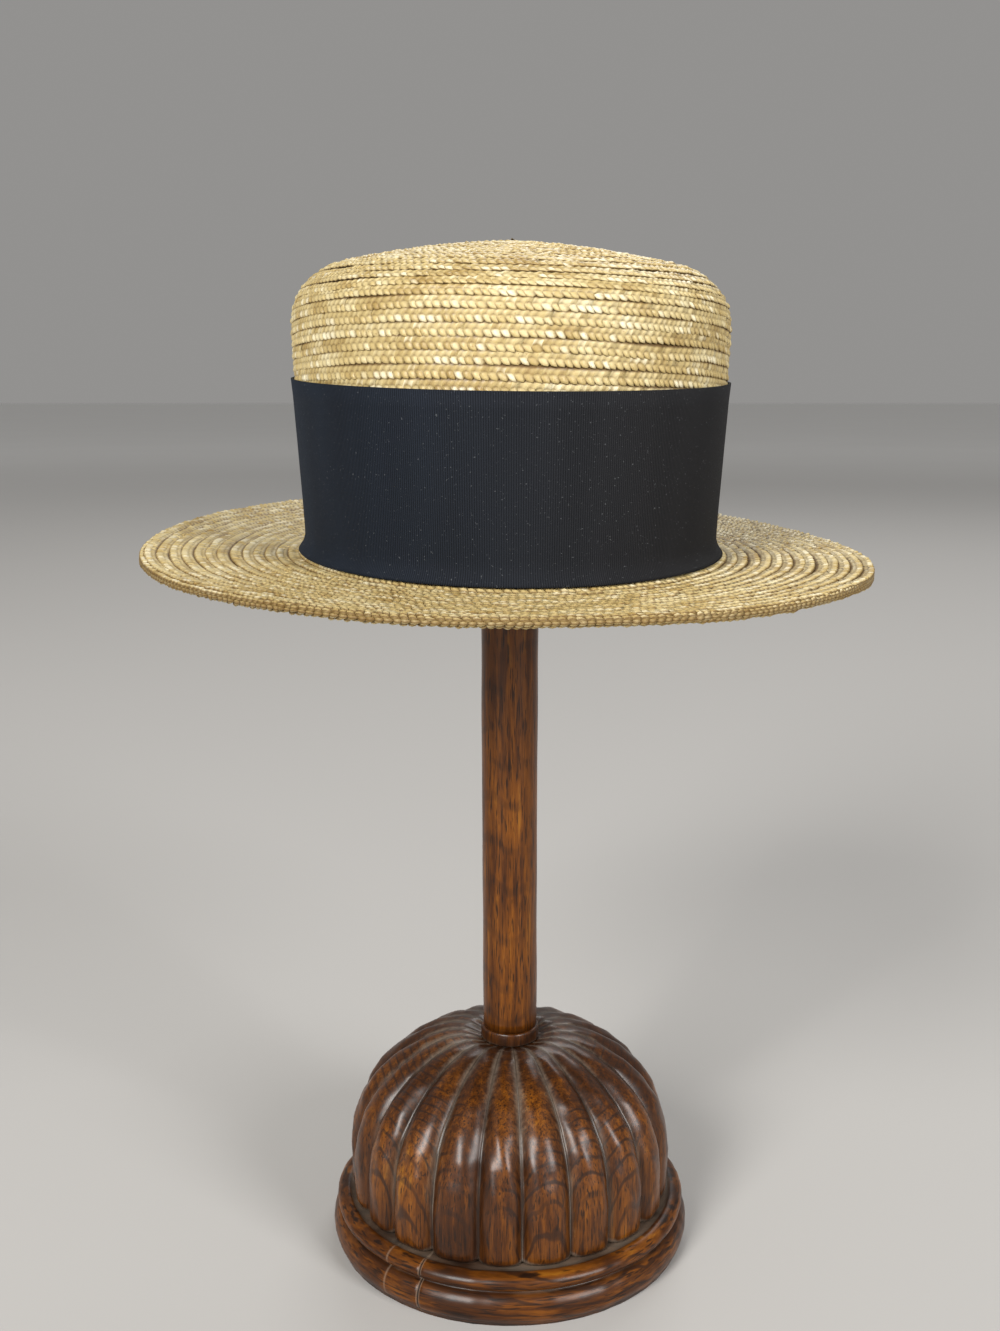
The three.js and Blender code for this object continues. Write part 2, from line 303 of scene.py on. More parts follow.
def strawShades(dice, count):
    # Each straw's tone and glint, the strength of its painted highlight, for the upper and the lower
    # line: a random number of its own and one shared with its neighbours, because a straw comes back
    # to the surface every few steps.
    knots = np.arange(0, count + 8, 4)
    patches = np.interp(np.arange(count), knots, dice.normal(0, 1, len(knots)))
    tone = straw["ownTone"] * dice.normal(0, 1, (count, 2)) + straw["sharedTone"] * patches[:, None]
    own = dice.normal(0, 1, (count, 2))
    shared = np.repeat(dice.normal(0, 1, (count // 3 + 1, 2)), 3, 0)[:count]
    return tone, own + straw["sharedGlint"] * shared - [straw["upperDulling"], 0]


def capQuads(sections, rows):
    # quads from one side of the section to the other, over the strip's first and last section;
    # where the rows are an odd number, the triangle left at the section's far end stays open
    rib = np.arange(rows // 2 - 1)
    cap = np.stack([rib, rib + 1, rows - 2 - rib, rows - 1 - rib], -1)
    return np.concatenate([cap[:, ::-1], cap + (sections - 1) * rows])


def plaitStrip(name, shell, firstTurn, lastTurn, start, seed, coarse=False, pitch=straw["rowPitch"],
               under=0, outline=section, limit=None):
    # One long flat plait wound as a spiral: each turn moves it one row further out. Along it the
    # straws are spaced evenly; each point is found by its length along the plait and its place
    # across, leaning like a herringbone, and is lifted off the shell by the section. With "under",
    # the plait faces down instead, that far below the shell. No turn reaches past "limit": the last
    # one keeps to the rim and sinks a little as the turn before closes over it.
    dice = np.random.default_rng(seed)
    scalePitch = straw["scalePitch"] * outline["scale"]
    keep, pick = slice(None), slice(None)
    if coarse:
        keep, pick = straw["coarseRows"], slice(0, None, 2)
        scalePitch = scalePitch * straw["coarseStretch"]
    cuts = np.array(straw["cuts"])[pick]
    turns = np.linspace(firstTurn, lastTurn, 1200)
    edgeTurn = turns if limit is None else np.minimum(turns, (limit - start) / pitch - 1)
    girth = np.interp(start + pitch * (edgeTurn + 0.5), shell.places, shell.girth)
    pace = np.concatenate([[0], np.cumsum((girth[1:] + girth[:-1]) / 2 * np.diff(turns))])
    count = int(pace[-1] / scalePitch)
    straws = np.repeat(np.arange(count), len(cuts))
    length = (straws + np.tile(cuts, count)) * pace[-1] / count
    length = length + dice.normal(0, straw["jitter"], count)[straws]
    length = length + straw["drift"] * np.interp(length, np.linspace(0, pace[-1], count // 9 + 2),
                                                 dice.normal(0, 1, count // 9 + 2))

    rows = {key: values[keep] for key, values in outline.items() if key not in ("scale", "gap")}
    across = rows["across"][None, :]
    lower = across > 0.5
    lean = np.where(lower, straw["lowerSlant"] * np.clip((across - 0.5) * 2, 0, 1) ** 1.6,
                    straw["upperSlant"] * np.clip((0.5 - across) * 2, 0, 1.4) ** 1.3)
    uneven = dice.normal(0, straw["unevenness"], (count, 2))
    lowerSwell, upperSwell, reach = (np.tile(np.array(straw[key])[pick], count)[:, None]
                                     for key in ("lowerSwell", "upperSwell", "reach"))
    swell = np.where(lower, lowerSwell, upperSwell)
    own = np.where(lower, uneven[straws, 1][:, None], uneven[straws, 0][:, None])
    turn = np.interp(length[:, None] + lean + straw["unevenShift"] * own, pace, turns)
    edge = straw["scallop"] * reach * np.clip((across - 0.7) * 4, 0, 1)
    edge = edge - straw["zigzag"] * (2 * lowerSwell - 1) * np.exp(-((across - 0.5) / 0.17) ** 2)
    wander = 0
    for size, run in straw["wander"]:
        knots = np.linspace(0, pace[-1], count // run + 2)
        wander = wander + size * np.interp(length, knots, dice.normal(0, 1, len(knots)))
    outward = turn if limit is None else np.minimum(turn, (limit - start) / pitch - 1)
    free = turn - outward < 0.01            # false where the last turn keeps to the rim
    place = start + pitch * (outward + across + edge + wander[:, None] * free)
    bulge = rows["bulge"] * (straw["swell"] * swell - straw["waist"]) * (1 + own)
    lift = rows["lift"] + bulge + straw["unevenLift"] * own * (rows["bulge"] > 0.05)
    lift = lift - straw["endSink"] * np.clip(turn - outward, 0, 1)
    points = shell.point(place, turn, -under - lift if under else lift)
    # painted shade: darkest in the gaps between straws, where a straw swells least, and in the section's
    # creases
    gap = outline["gap"] * np.where(lower, *straw["gapShadeShare"]) * (1 - swell) ** 1.3
    creaseShade = np.clip(rows["creaseShade"] + gap * (np.abs(rows["bulge"]) > 0.05), 0, 1)

    n, m = points.shape[:2]
    caps = capQuads(n, m)
    faceStraw = np.repeat(straws[:-1], m)
    middle = np.tile((rows["across"] + np.roll(rows["across"], -1)) / 2, n - 1)
    line = (middle > 0.5).astype(int)       # 0 on the upper line of straws, 1 on the lower
    faceValues = {}
    for key, values in zip(("tone", "glint"), strawShades(dice, count)):
        faceValues[key] = np.concatenate([values[faceStraw, line], np.zeros(len(caps))])
    quads = np.concatenate([gridQuads(n, m, wrapColumns=True), caps])
    uv = np.stack(np.broadcast_arrays(length[:, None], across * pitch), -1).reshape(-1, 2)
    return addMesh(name, points.reshape(-1, 3), quads, pointValues={"creaseShade": creaseShade},
                   faceValues=faceValues, uv=uv)


class Wire:
    # an output of a node; arithmetic on it adds Math nodes
    def __init__(self, finish, socket):
        self.finish, self.socket = finish, socket

    def maths(self, operation, *values):
        # a Math node with these values or wires on its sockets
        inputs = dict(enumerate(values))
        return self.finish.add("Math", {"operation": operation}, inputs)

    def __add__(self, other):
        return self.maths("ADD", self, other)

    def __sub__(self, other):
        return self.maths("SUBTRACT", self, other)

    def __rsub__(self, other):
        return self.maths("SUBTRACT", other, self)

    def __mul__(self, other):
        return self.maths("MULTIPLY", self, other)

    def __pow__(self, other):
        return self.maths("POWER", self, other)

    __radd__ = __add__
    __rmul__ = __mul__

    def clamped(self):
        # kept from 0 to 1
        return self.maths("MINIMUM", self.maths("MAXIMUM", self, 0.0), 1.0)

    def band(self, low, high):
        # 0 at low, 1 at high, smooth between
        return self.finish.add("MapRange", {"interpolation_type": "SMOOTHSTEP"},
                               {"Value": self, "From Min": low, "From Max": high})


class Finish:
    # a material with one Principled shader
    def __init__(self, name, **constants):
        self.material = bpy.data.materials.new(name)
        self.material.use_nodes = True
        self.tree = self.material.node_tree
        self.shader = self.tree.nodes["Principled BSDF"]
        for key, value in constants.items():
            self.shader.inputs[key.replace("_", " ")].default_value = value

    def add(self, kind, settings=None, inputs=None, output=0):
        # any node: its settings first, then the values or wires of its sockets
        node = self.tree.nodes.new("ShaderNode" + kind)
        for key, value in (settings or {}).items():
            if key == "stops":
                ramp = node.color_ramp.elements
                for spot, (place, colour) in enumerate(value):
                    stop = ramp[spot] if spot < len(ramp) else ramp.new(place)
                    stop.position, stop.color = place, (*colour, 1)
            else:
                setattr(node, key, value)
        for key, value in (inputs or {}).items():
            self.feed(node.inputs[key], value)
        return Wire(self, node.outputs[output])

    def feed(self, socket, value):
        # a wire is linked to the socket, anything else becomes its fixed value
        if isinstance(value, Wire):
            self.tree.links.new(value.socket, socket)
        else:
            socket.default_value = value

    def colour(self, factor, one, two):
        # colour one where the factor is 0, colour two where it is 1
        one, two = ((*c, 1) if isinstance(c, tuple) else c for c in (one, two))
        return self.add("Mix", {"data_type": "RGBA", "clamp_factor": True},
                        {0: factor, 6: one, 7: two}, 2)

    def value(self, name):
        # a number kept on the mesh under this name
        return self.add("Attribute", {"attribute_name": name}, output=2)

    def place(self, scale=(1, 1, 1), source="Object"):
        # where a point is, in metres, or along and across its own plait in millimetres for "UV"
        coordinates = self.add("TexCoord", output={"Object": 3, "UV": 2}[source])
        return self.add("Mapping", {}, {"Vector": coordinates, "Scale": scale})

    def axes(self):
        # x, y and z of where a point is
        parts = self.add("SeparateXYZ", {}, {0: self.place()}).socket.node.outputs
        return [Wire(self, part) for part in parts]

    def noise(self, vector, scale, detail=3.0, roughness=0.5):
        # cloudy noise about 0.5, with this many waves to a unit of the vector
        return self.add("TexNoise", {}, {"Vector": vector, "Scale": scale, "Detail": detail,
                                         "Roughness": roughness})

    def finish(self, colour, roughness=None, height=None, distance=0.0002, strength=0.5):
        # feeds the shader; the height becomes a bump of this distance in metres
        self.feed(self.shader.inputs["Base Color"], colour)
        if roughness is not None:
            self.feed(self.shader.inputs["Roughness"], roughness)
        if height is not None:
            bump = self.add("Bump", {}, {"Height": height, "Distance": distance, "Strength": strength})
            self.feed(self.shader.inputs["Normal"], bump)
        return self.material


def strawFinish(name, coat, shine, glintFrom):
    # A ramp of straw colours read at tone plus fibres plus cloud, paler with a painted highlight where
    # a straw glints, brown in specks, and darkest with painted shade in the creases and gaps.
    look = Finish(name, Coat_Weight=coat, Coat_Roughness=0.28, Specular_IOR_Level=shine)
    tone, glint, creaseShade = look.value("tone"), look.value("glint"), look.value("creaseShade")
    fibres = look.noise(look.place((1.1, 9, 1), source="UV"), 2.2, 3)
    cloud = look.noise(look.place(), 22, 3)
    specks = look.noise(look.place(), 1100, 1)
    level = (0.48 + tone * 0.22 + (fibres - 0.5) * 0.6 + (cloud - 0.5) * 0.45).clamped()
    body = look.add("ValToRGB", {"stops": [
        (0.0, (0.35, 0.240, 0.080)), (0.4, (0.50, 0.385, 0.165)),
        (0.7, (0.585, 0.475, 0.235)), (1.0, (0.70, 0.620, 0.385))]}, {0: level})
    # painted highlight: where a straw glints, its middle is painted pale, away from the creases
    paintedGlint = glint.band(glintFrom, glintFrom + 1) * (1 - creaseShade) ** 2 * 0.8
    pale = look.colour(paintedGlint, body, (0.82, 0.765, 0.57))
    spotted = look.colour(specks.band(0.69, 0.75) * 0.55, pale, (0.25, 0.13, 0.035))
    # painted shade: the creases and the gaps between straws darken to a deep brown
    dark = look.colour((creaseShade ** 1.4) * 0.94, spotted, (0.105, 0.054, 0.012))
    rough = 0.32 + creaseShade * 0.3 + (fibres - 0.5) * 0.3
    return look.finish(dark, rough, fibres, 0.00012, 0.5)


def ribbonFinish():
    # nearly black thread, with a painted reflection of cool light that makes it bluer on the left,
    # painted shade darkest between the ribs, and a little grey lint
    look = Finish("grosgrain", Specular_IOR_Level=0.10, Sheen_Weight=0.03, Sheen_Roughness=0.5)
    rib = look.value("rib")
    spread = look.noise(look.place((1, 1, 0.15)), 60, 2)
    fluff = look.noise(look.place(), 1400, 2)
    # painted reflection: the left side is tinted bluer, as by the cool light falling there
    side = look.axes()[0].band(-0.08, 0.06)
    thread = look.colour(side, (0.0110, 0.0165, 0.0270), (0.0150, 0.0150, 0.0165))
    # painted shade: darkest between the ribs, mixed with a slow cloud
    body = look.colour((rib * 0.85 + spread * 0.5 - 0.1).clamped(), (0.0014, 0.0018, 0.0028), thread)
    specks = look.colour(fluff.band(0.67, 0.76) * 0.4, body, (0.16, 0.17, 0.18))
    return look.finish(specks, 0.72 + spread * 0.15, fluff, 0.0001, 0.35)


def woodFinish(name, grain, cracks=False, carved=False, warm=0.0, wax=0.46):
    # Growth rings are cylinders about the upright axis, or nearly level layers in flat grain,
    # shaken by noise; pores are short dark streaks along the grain; in the carving, painted shade
    # darkens the grooves and runs as a dark line down them, and dust lies there with a grey that is
    # partly a painted sheen.
    look = Finish(name, Coat_Weight=wax, Coat_Roughness=0.31, Specular_IOR_Level=0.04)
    shake = look.noise(look.place((1, 1, 0.35)), 34, 3)
    east, north, up = look.axes()
    if grain == "flat":
        span = up * 190 + east * 16
        stretch, fine = (0.07, 0.16, 1), (0.05, 0.12, 1)
    else:
        span = (east * east + north * north) ** 0.5 * 280 - up * 60
        stretch, fine = (1, 1, 0.06), (1, 1, 0.07)
    span = span + shake * 2.6
    patch = look.noise(look.place((1, 1, 0.8)), 42, 2)
    wave = span * 6.283                     # a full turn for each ring
    rings = wave.maths("SINE", wave).band(0.62, 0.98) * patch.band(0.42, 0.58) * (1 - warm)
    streaks = look.noise(look.place(stretch), 480, 4, 0.7)
    pores = look.noise(look.place(fine), 1700, 2)
    cloud = look.noise(look.place((1, 1, 0.6)), 30, 4)
    level = (streaks * 1.15 + (cloud - 0.5) * (1.1 - warm * 0.6) - 0.17 + warm * 0.12).clamped()
    body = look.add("ValToRGB", {"stops": [
        (0.0, (0.010, 0.0030, 0.0007)), (0.35, (0.053, 0.0150, 0.0017)),
        (0.62, (0.140, 0.0430, 0.0034)), (1.0, (0.34, 0.148, 0.014))]}, {0: level})
    ringed = look.colour(rings * (0.45 + streaks * 0.6), body, (0.014, 0.0055, 0.003))
    colour = look.colour(pores.band(0.54, 0.65) * 0.85, ringed, (0.008, 0.0035, 0.002))
    rough = 0.26 + (1 - streaks) * 0.25
    if carved:
        groove, line = look.value("groove"), look.value("line")
        # dust in the carving, its grey partly a painted sheen
        dustAndSheen = (groove + (cloud - 0.5) * 1.6 + (streaks - 0.5) * 0.8).band(0.45, 1.15)
        # painted shade: the deeper in the carving, the darker
        shaded = look.colour((groove ** 0.8) * 0.78, colour, (0.018, 0.008, 0.0045))
        colour = look.colour(dustAndSheen * 0.50, shaded, (0.17, 0.138, 0.106))
        # painted shade: a dark line down the bottom of each groove
        colour = look.colour(line.band(0.55, 0.9) * 0.6, colour, (0.014, 0.008, 0.005))
        lint = line.band(0.90, 1.0) * cloud.band(0.42, 0.62) * 0.75
        colour = look.colour(lint, colour, (0.24, 0.205, 0.17))
        rough = rough + dustAndSheen * 0.3
    if cracks:
        split = look.value("crack")
        colour = look.colour(split.band(0.05, 0.3) * 0.25, colour, (0.33, 0.24, 0.17))
        colour = look.colour(split.band(0.45, 0.8) * 0.9, colour, (0.012, 0.007, 0.005))
    height = streaks * 0.5 - pores.band(0.56, 0.68) * 0.6 - rings * 0.3
    return look.finish(colour, rough, height, 0.00025, 0.35)


ribbon = {
    "ribPitch": 0.78,
    "ribDepth": 0.14,
    "ribCuts": (0.0, 0.33, 0.67),
    "topHeight": 357.5,
    "topTiltY": 0.046,          # rise of its upper edge for each mm towards the back
    "bottomRise": 1.3,          # its lower edge over the hat's foot
    "flare": 2.8,               # how far the lower edge spreads out
    "flareFrom": 8.0,           # and the height over the hat's foot where that starts
    "gap": 0.45,
    "thickness": 0.8,
    "slack": 0.25,              # how far it stands off here and there
    "outerRows": 16,
    "innerRows": 7,
}


def ribbonPoints(shell, share, fraction, lift):
    # walk down the crown's wall to the wanted height, then spread out over the fillet
    guide = shell.sample(shell.grid, np.full(share.shape, shell.places[-1] * 0.8), share)
    x, y = guide[..., 0], guide[..., 1]
    base = hat["rootHeight"] + hat["baseTiltY"] * y + hat["baseTiltX"] * x
    bottom = base + ribbon["bottomRise"]
    top = ribbon["topHeight"] + ribbon["topTiltY"] * y + hat["baseTiltX"] * x
    z = bottom + fraction * (top - bottom)
    columns = np.arange(shell.steps + 1) / shell.steps
    place = np.empty(share.shape)
    heights = shell.sample(shell.grid, *np.broadcast_arrays(shell.places[:, None], columns[None, :]))[..., 2]
    pick = (share * shell.steps).round().astype(int) % shell.steps
    for column in np.unique(pick):
        chosen = pick == column
        place[chosen] = np.interp(-z[chosen], -heights[:, column], shell.places)
    low = np.clip((ribbon["flareFrom"] - (z - base)) / (ribbon["flareFrom"] - ribbon["bottomRise"]), 0, 1)
    points = shell.point(place, share, ribbon["gap"] + lift + ribbon["flare"] * low ** 2)
    points[..., 2] = z
    return points


def makeRibbon(shell, material):
    # A closed band round the crown: its outer face is lifted by its thickness and by half a sine
    # wave for each rib, its inner face lies plain, and both slacken by a few slow waves.
    ribs = int(shell.girth[-1] / ribbon["ribPitch"])
    cuts = np.array(ribbon["ribCuts"])
    share = ((np.arange(ribs)[:, None] + cuts[None, :]) / ribs).ravel()
    swell = np.tile(np.sin(np.pi * cuts) ** 0.8, ribs)
    fractions = np.concatenate([np.linspace(1, 0, ribbon["outerRows"]) ** 1.5,
                                np.linspace(0, 1, ribbon["innerRows"]) ** 1.8])
    face = np.concatenate([np.ones(ribbon["outerRows"]), np.zeros(ribbon["innerRows"])])
    s, f = np.meshgrid(share, fractions, indexing="ij")
    relief = swell[:, None] * ribbon["ribDepth"] * face[None, :]
    slack = ribbon["slack"] * waves(s, 5, 6, 2, 9) * np.sin(np.pi * np.clip(f, 0, 1))
    slack = slack + ribbon["slack"] * np.clip(f - 0.93, 0, 1) * 14     # the top edge stands off more
    lift = face[None, :] * ribbon["thickness"] + relief + np.abs(slack)
    points = ribbonPoints(shell, s, f, lift)
    n, m = s.shape
    rib = np.repeat(swell[:, None], m, 1) * face[None, :]
    quads = gridQuads(n, m, True, True)
    band = addMesh("ribbonBand", points.reshape(-1, 3), quads, pointValues={"rib": rib})
    settle(band, material, "ribbon_band")
    outside = points[:, :ribbon["outerRows"]]
    middle = outside[::len(cuts), ribbon["outerRows"] // 2]
    length = np.linalg.norm(np.roll(middle, -1, axis=0) - middle, axis=-1).sum()


stand = {
    "lobes": 21,
    "firstGroove": 1.2,         # in degrees from the right
    "lobeSpread": 0.045,        # how unevenly the grooves are spaced, in lobes
    "grooveDepth": 5.0,
    "columnsPerLobe": 18,
    "footPower": 3.6,           # how square a lobe's section is at its foot
    "topPower": 1.8,            # and how pointed it is near the collar
    # radii of the lower bead, the upper bead and the foot, how far a bead swells, and the
    # heights of the lower bead's top and of the ring's top
    "ringBeads": (75.3, 73.6, 73.4, 5.2, 13.0, 20.3),
    # where the foot ring's two cracks are and half of each one's width, in degrees from the front
    "cracks": ((-41.5, 0.36), (-28.5, 0.34)),
    "postRadius": 11.2,
    "postSpread": 0.6,          # how much wider the post is at its top
    # radius at a lobe's crest, height over the ledge, share of the groove's depth
    "domeRows": (
        (66.2, 0.0, 0.66), (66.8, 0.8, 0.80), (67.0, 3.0, 0.90), (67.2, 8.0, 0.95), (67.4, 18.0, 1.0),
        (66.2, 29.0, 1.0), (62.6, 39.8, 1.0), (57.2, 48.0, 1.0), (48.6, 56.2, 0.95),
        (38.0, 62.8, 0.80), (28.5, 66.2, 0.62), (20.0, 67.0, 0.44), (13.0, 64.8, 0.25)),
}


def latheGrid(radii, heights, columns):
    # each row's radii and height carried round the upright axis
    angle = np.arange(columns) / columns * 2 * np.pi
    x = radii * np.cos(angle)[None, :]
    y = radii * np.sin(angle)[None, :]
    return np.stack([x, y, np.broadcast_to(heights, x.shape)], -1)


def makeDome(material):
    # A profile turned about the upright axis, with the radius taken in by the depth of a groove
    # between each two lobes and a little waviness, and closed at a point above and below.
    low = boxOf("stand_dome")[0, 2]
    length, line = smoothCurve(stand["domeRows"], 1.2, 5.0)
    lobes = stand["lobes"]
    count = lobes * stand["columnsPerLobe"]
    column = np.arange(count)
    lobe = column / stand["columnsPerLobe"]
    dice = np.random.default_rng(7)
    shifts = np.append(dice.normal(0, stand["lobeSpread"], lobes), 0)
    shift = np.interp(lobe, np.arange(lobes + 1), shifts)
    phase = 2 * (lobe % 1) - 1
    # a lobe falls away from its crest as a power of the distance from it: full at the foot,
    # a sharper ridge near the collar
    climb = (line[:, 1:2] / 66).clip(0, 1)
    power = stand["footPower"] + (stand["topPower"] - stand["footPower"]) * climb ** 0.8
    fall = np.abs(phase)[None, :] ** power
    wobble = 0.35 * waves((length[:, None] / length[-1] * 0.8 + lobe[None, :] * 0.37) % 1, 3, 5, 1, 6)
    nickTurn = (length[:, None] / length[-1] * 2.3 + np.floor(lobe)[None, :] * 0.61) % 1
    nick = 0.045 * waves(nickTurn, 9, 6, 3, 14)
    radii = line[:, :1] - stand["grooveDepth"] * line[:, 2:3] * fall + (wobble * 0.5 + nick) * line[:, 2:3]
    angle = math.radians(stand["firstGroove"]) + (lobe + shift) / lobes * 2 * np.pi
    points = np.stack([radii * np.cos(angle), radii * np.sin(angle),
                       np.broadcast_to(low + line[:, 1:2], radii.shape)], -1)
    poleLow, poleHigh = points[:1] * [0, 0, 1], points[-1:] * [0, 0, 1]
    points = np.concatenate([poleLow, points, poleHigh])
    # groove is how deep in the carving a point lies, full too at the foot and near the collar; the finish
    # paints shade, dust and sheen by it. line marks each groove's bottom, painted with a dark line of shade
    # and grey lint.
    depth = np.abs(phase)[None, :] ** (1.6 + 2.4 * (1 - climb))
    groove = np.clip(depth * (0.55 + 0.45 * climb) + 0.8 * np.clip(1 - line[:, 1:2] / 2, 0, 1)
                     + 0.5 * np.clip(line[:, 1:2] / 66 - 0.9, 0, 1) * 5, 0, 1)
    sharp = np.clip((np.abs(phase) - 0.80) / 0.20, 0, 1)[None, :] * np.ones_like(groove)
    pad = np.ones((1, count))
    values = {"groove": np.concatenate([pad, groove, pad]),
              "line": np.concatenate([pad * 0, sharp, pad * 0])}
    quads = gridQuads(len(points), count, wrapColumns=True)
    dome = addMesh("standDome", points.reshape(-1, 3), quads, 0.001, values)
    return settle(dome, material, "stand_dome")


def arcPoints(centre, reach, fromAngle, toAngle, steps):
    # a stretch of an ellipse between two angles in degrees
    angle = np.radians(np.linspace(fromAngle, toAngle, steps))
    return np.stack([centre[0] + reach[0] * np.cos(angle), centre[1] + reach[1] * np.sin(angle)], -1)


def makeFootRing(material):
    # Two beads, each a stretch of an ellipse, turned about the upright axis, with a narrow ledge
    # inside; waves dent the rim and each crack is a fine notch down both beads.
    low, high, foot, reach, beadTop, top = stand["ringBeads"]
    half, upper = beadTop / 2, (top - beadTop) / 2
    line = np.concatenate([
        [[0, 0], [foot - 4, 0], [foot - 0.3, 0.05]],
        arcPoints((low - reach, half), (reach, half), -46, 78, 18),
        arcPoints((high - reach, beadTop + upper), (reach, upper), -62, 84, 16),
        [[67.9, top - 0.35], [67.2, top - 0.6], [66.0, top - 0.5], [60, top - 0.3], [0, top - 0.3]]])
    columns = 480
    share = np.arange(columns) / columns
    outer = np.clip((line[:, :1] - 60) / 12, 0, 1)
    dents = outer * (0.16 * waves(share, 31, 6, 2, 9) + 0.04 * waves(share, 37, 6, 20, 60))[None, :]
    facing = (share * 360 - 270 + 180) % 360 - 180
    crack = np.zeros(columns)
    for centre, width in stand["cracks"]:
        crack = np.maximum(crack, np.clip(1 - np.abs(facing - centre) / width, 0, 1))
    crack = crack[None, :] * outer * (line[:, 1:2] > 1)
    points = latheGrid(line[:, :1] + dents - 0.5 * crack, line[:, 1:2], columns)
    points[..., 2] += (dents - 0.15 * waves(share, 41, 5, 2, 9)) * 0.3 * (line[:, 1:2] > 6) * outer
    # painted shade: a dark line in the hollow between the beads; painted shade and dust on the ledge inside
    hollow = np.clip(1 - np.abs(line[:, 1:2] - beadTop) / 1.3, 0, 1)
    ledge = 0.85 * np.clip((69.0 - line[:, :1]) / 1.0, 0, 1) * (line[:, 1:2] > beadTop + 2)
    groove = np.broadcast_to(hollow * 0.7 + ledge, crack.shape)
    values = {"crack": crack, "groove": groove, "line": np.broadcast_to(hollow * 0.85, crack.shape)}
    quads = gridQuads(len(points), columns, wrapColumns=True)
    ring = addMesh("standFootRing", points.reshape(-1, 3), quads, 0.001, values)
    return settle(ring, material, "stand_foot_ring")


def makePost(material):
    # A turned rod a little wider at its top, bowed slightly to the left and flattened down one
    # side, with tool waves round and along it.
    low, high = boxOf("stand_post")
    rise = np.linspace(0, 1, 90)[:, None]
    columns = 64
    share = np.arange(columns) / columns
    angle = share * 2 * np.pi
    toolWaves = 0.10 * waves(share, 13, 5, 2, 6)[None, :] * (1 + 0.3 * np.sin(rise * 9))
    radius = stand["postRadius"] + stand["postSpread"] * rise + toolWaves
    flat = np.clip(np.cos(angle - math.radians(197)), 0, 1)[None, :] ** 8 * np.clip(rise * 1.6 - 0.55, 0, 1)
    radius = radius - 0.55 * flat + 0.07 * waves(rise * 0.9, 17, 5, 2, 9)
    heights = low[2] + rise * (high[2] - low[2])
    line = latheGrid(radius, heights, columns)
    line[..., 0] += -0.35 * np.sin(rise * np.pi)
    points = np.concatenate([line[:1] * [0, 0, 1], line, line[-1:] * [0, 0, 1]])
    shade = np.zeros(points.shape[:2])
    quads = gridQuads(len(points), columns, wrapColumns=True)
    post = addMesh("standPost", points.reshape(-1, 3), quads, 0.001, {"groove": shade, "line": shade})
    return settle(post, material, "stand_post")


def makeCollar(material):
    # a rounded profile turned about the upright axis, its outside wavy
    low, high = boxOf("stand_collar")
    half = (high[2] - low[2]) / 2
    line = np.concatenate([
        [[0, 0], [11.6, 0]], arcPoints((11.5, 0.8), (0.6, 0.8), -70, 0, 5),
        arcPoints((11.2, 2 * half - 1), (0.8, 1), 0, 80, 6), [[0, 2 * half]]])
    columns = 96
    share = np.arange(columns) / columns
    swell = np.clip(line[:, :1] / 10, 0, 1) * 0.10 * waves(share, 53, 5, 2, 7)[None, :]
    points = latheGrid(line[:, :1] + swell, low[2] + line[:, 1:2], columns)
    shade = np.broadcast_to(np.clip(1 - line[:, 1:2] / half, 0, 1), points.shape[:2])
    quads = gridQuads(len(points), columns, wrapColumns=True)
    values = {"groove": shade, "line": shade * 0.5}
    collar = addMesh("standCollar", points.reshape(-1, 3), quads, 0.001, values)
    return settle(collar, material, "stand_collar")


view = {
    "focal": 39.2,              # for a 36 mm long side
    "distance": 572.7,
    "height": 353.2,
    "tiltDown": 10.75,          # in degrees
    "turnLeft": 0.42,
    "floorReach": 40.0,         # in metres
    "floorColour": (0.44, 0.43, 0.415),
    "farColour": (0.90, 0.90, 0.89),
    "skyColour": (1.0, 0.98, 0.955),
    "skyStrength": 0.29,
}
# where each lamp is, what it points at, its two sides, its watts and its colour
lamps = {
    "key": ((-1.9, -3.2, 2.2), (0, 0, 0.28), (1.3, 2.0), 215, (1.0, 0.98, 0.95)),
    "fill": ((2.6, -2.6, 1.8), (0, 0, 0.25), (1.4, 1.8), 135, (1.0, 0.99, 0.98)),
    "back": ((0.6, 2.6, 2.8), (0, 0, 0.3), (2.0, 1.2), 38, (1.0, 1.0, 1.0)),
}


def makeCamera():
    # in front of the stand, looking a little down at it
    camera = bpy.data.objects.new("camera", bpy.data.cameras.new("camera"))
    bpy.context.scene.collection.objects.link(camera)
    camera.location = (0, -view["distance"] * millimetre, view["height"] * millimetre)
    camera.rotation_euler = (math.radians(90 - view["tiltDown"]), 0, math.radians(view["turnLeft"]))
    camera.data.lens = view["focal"]
    camera.data.sensor_width = 36
    bpy.context.scene.camera = camera
    bpy.context.scene.view_settings.view_transform = "Standard"


def makeStage():
    # a plain floor, painted paler from the object outwards to stand in for the lamps' light that does
    # not reach its far part, so that it meets the sky evenly; and an even sky
    mesh = bpy.data.meshes.new("floor")
    far = view["floorReach"]
    mesh.from_pydata([(-far, -far, 0), (far, -far, 0), (far, far, 0), (-far, far, 0)], [], [(0, 1, 2, 3)])
    floor = bpy.data.objects.new("floor", mesh)
    bpy.context.scene.collection.objects.link(floor)
    look = Finish("paleFloor", Roughness=0.75)
    reach = look.add("VectorMath", {"operation": "LENGTH"}, {0: look.place()}, 1)
    cloud = look.noise(look.place(), 1.4, 2)
    # painted light: paler further out, where the lamps light it less
    pale = look.colour(reach.band(1.8, 9.0), view["floorColour"], view["farColour"])
    floor.data.materials.append(look.finish(look.colour(cloud * 0.06, pale, (0.3, 0.3, 0.3))))
    world = bpy.data.worlds.new("studio")
    bpy.context.scene.world = world
    world.use_nodes = True
    sky = world.node_tree.nodes["Background"]
    sky.inputs["Color"].default_value = (*view["skyColour"], 1)
    sky.inputs["Strength"].default_value = view["skyStrength"]


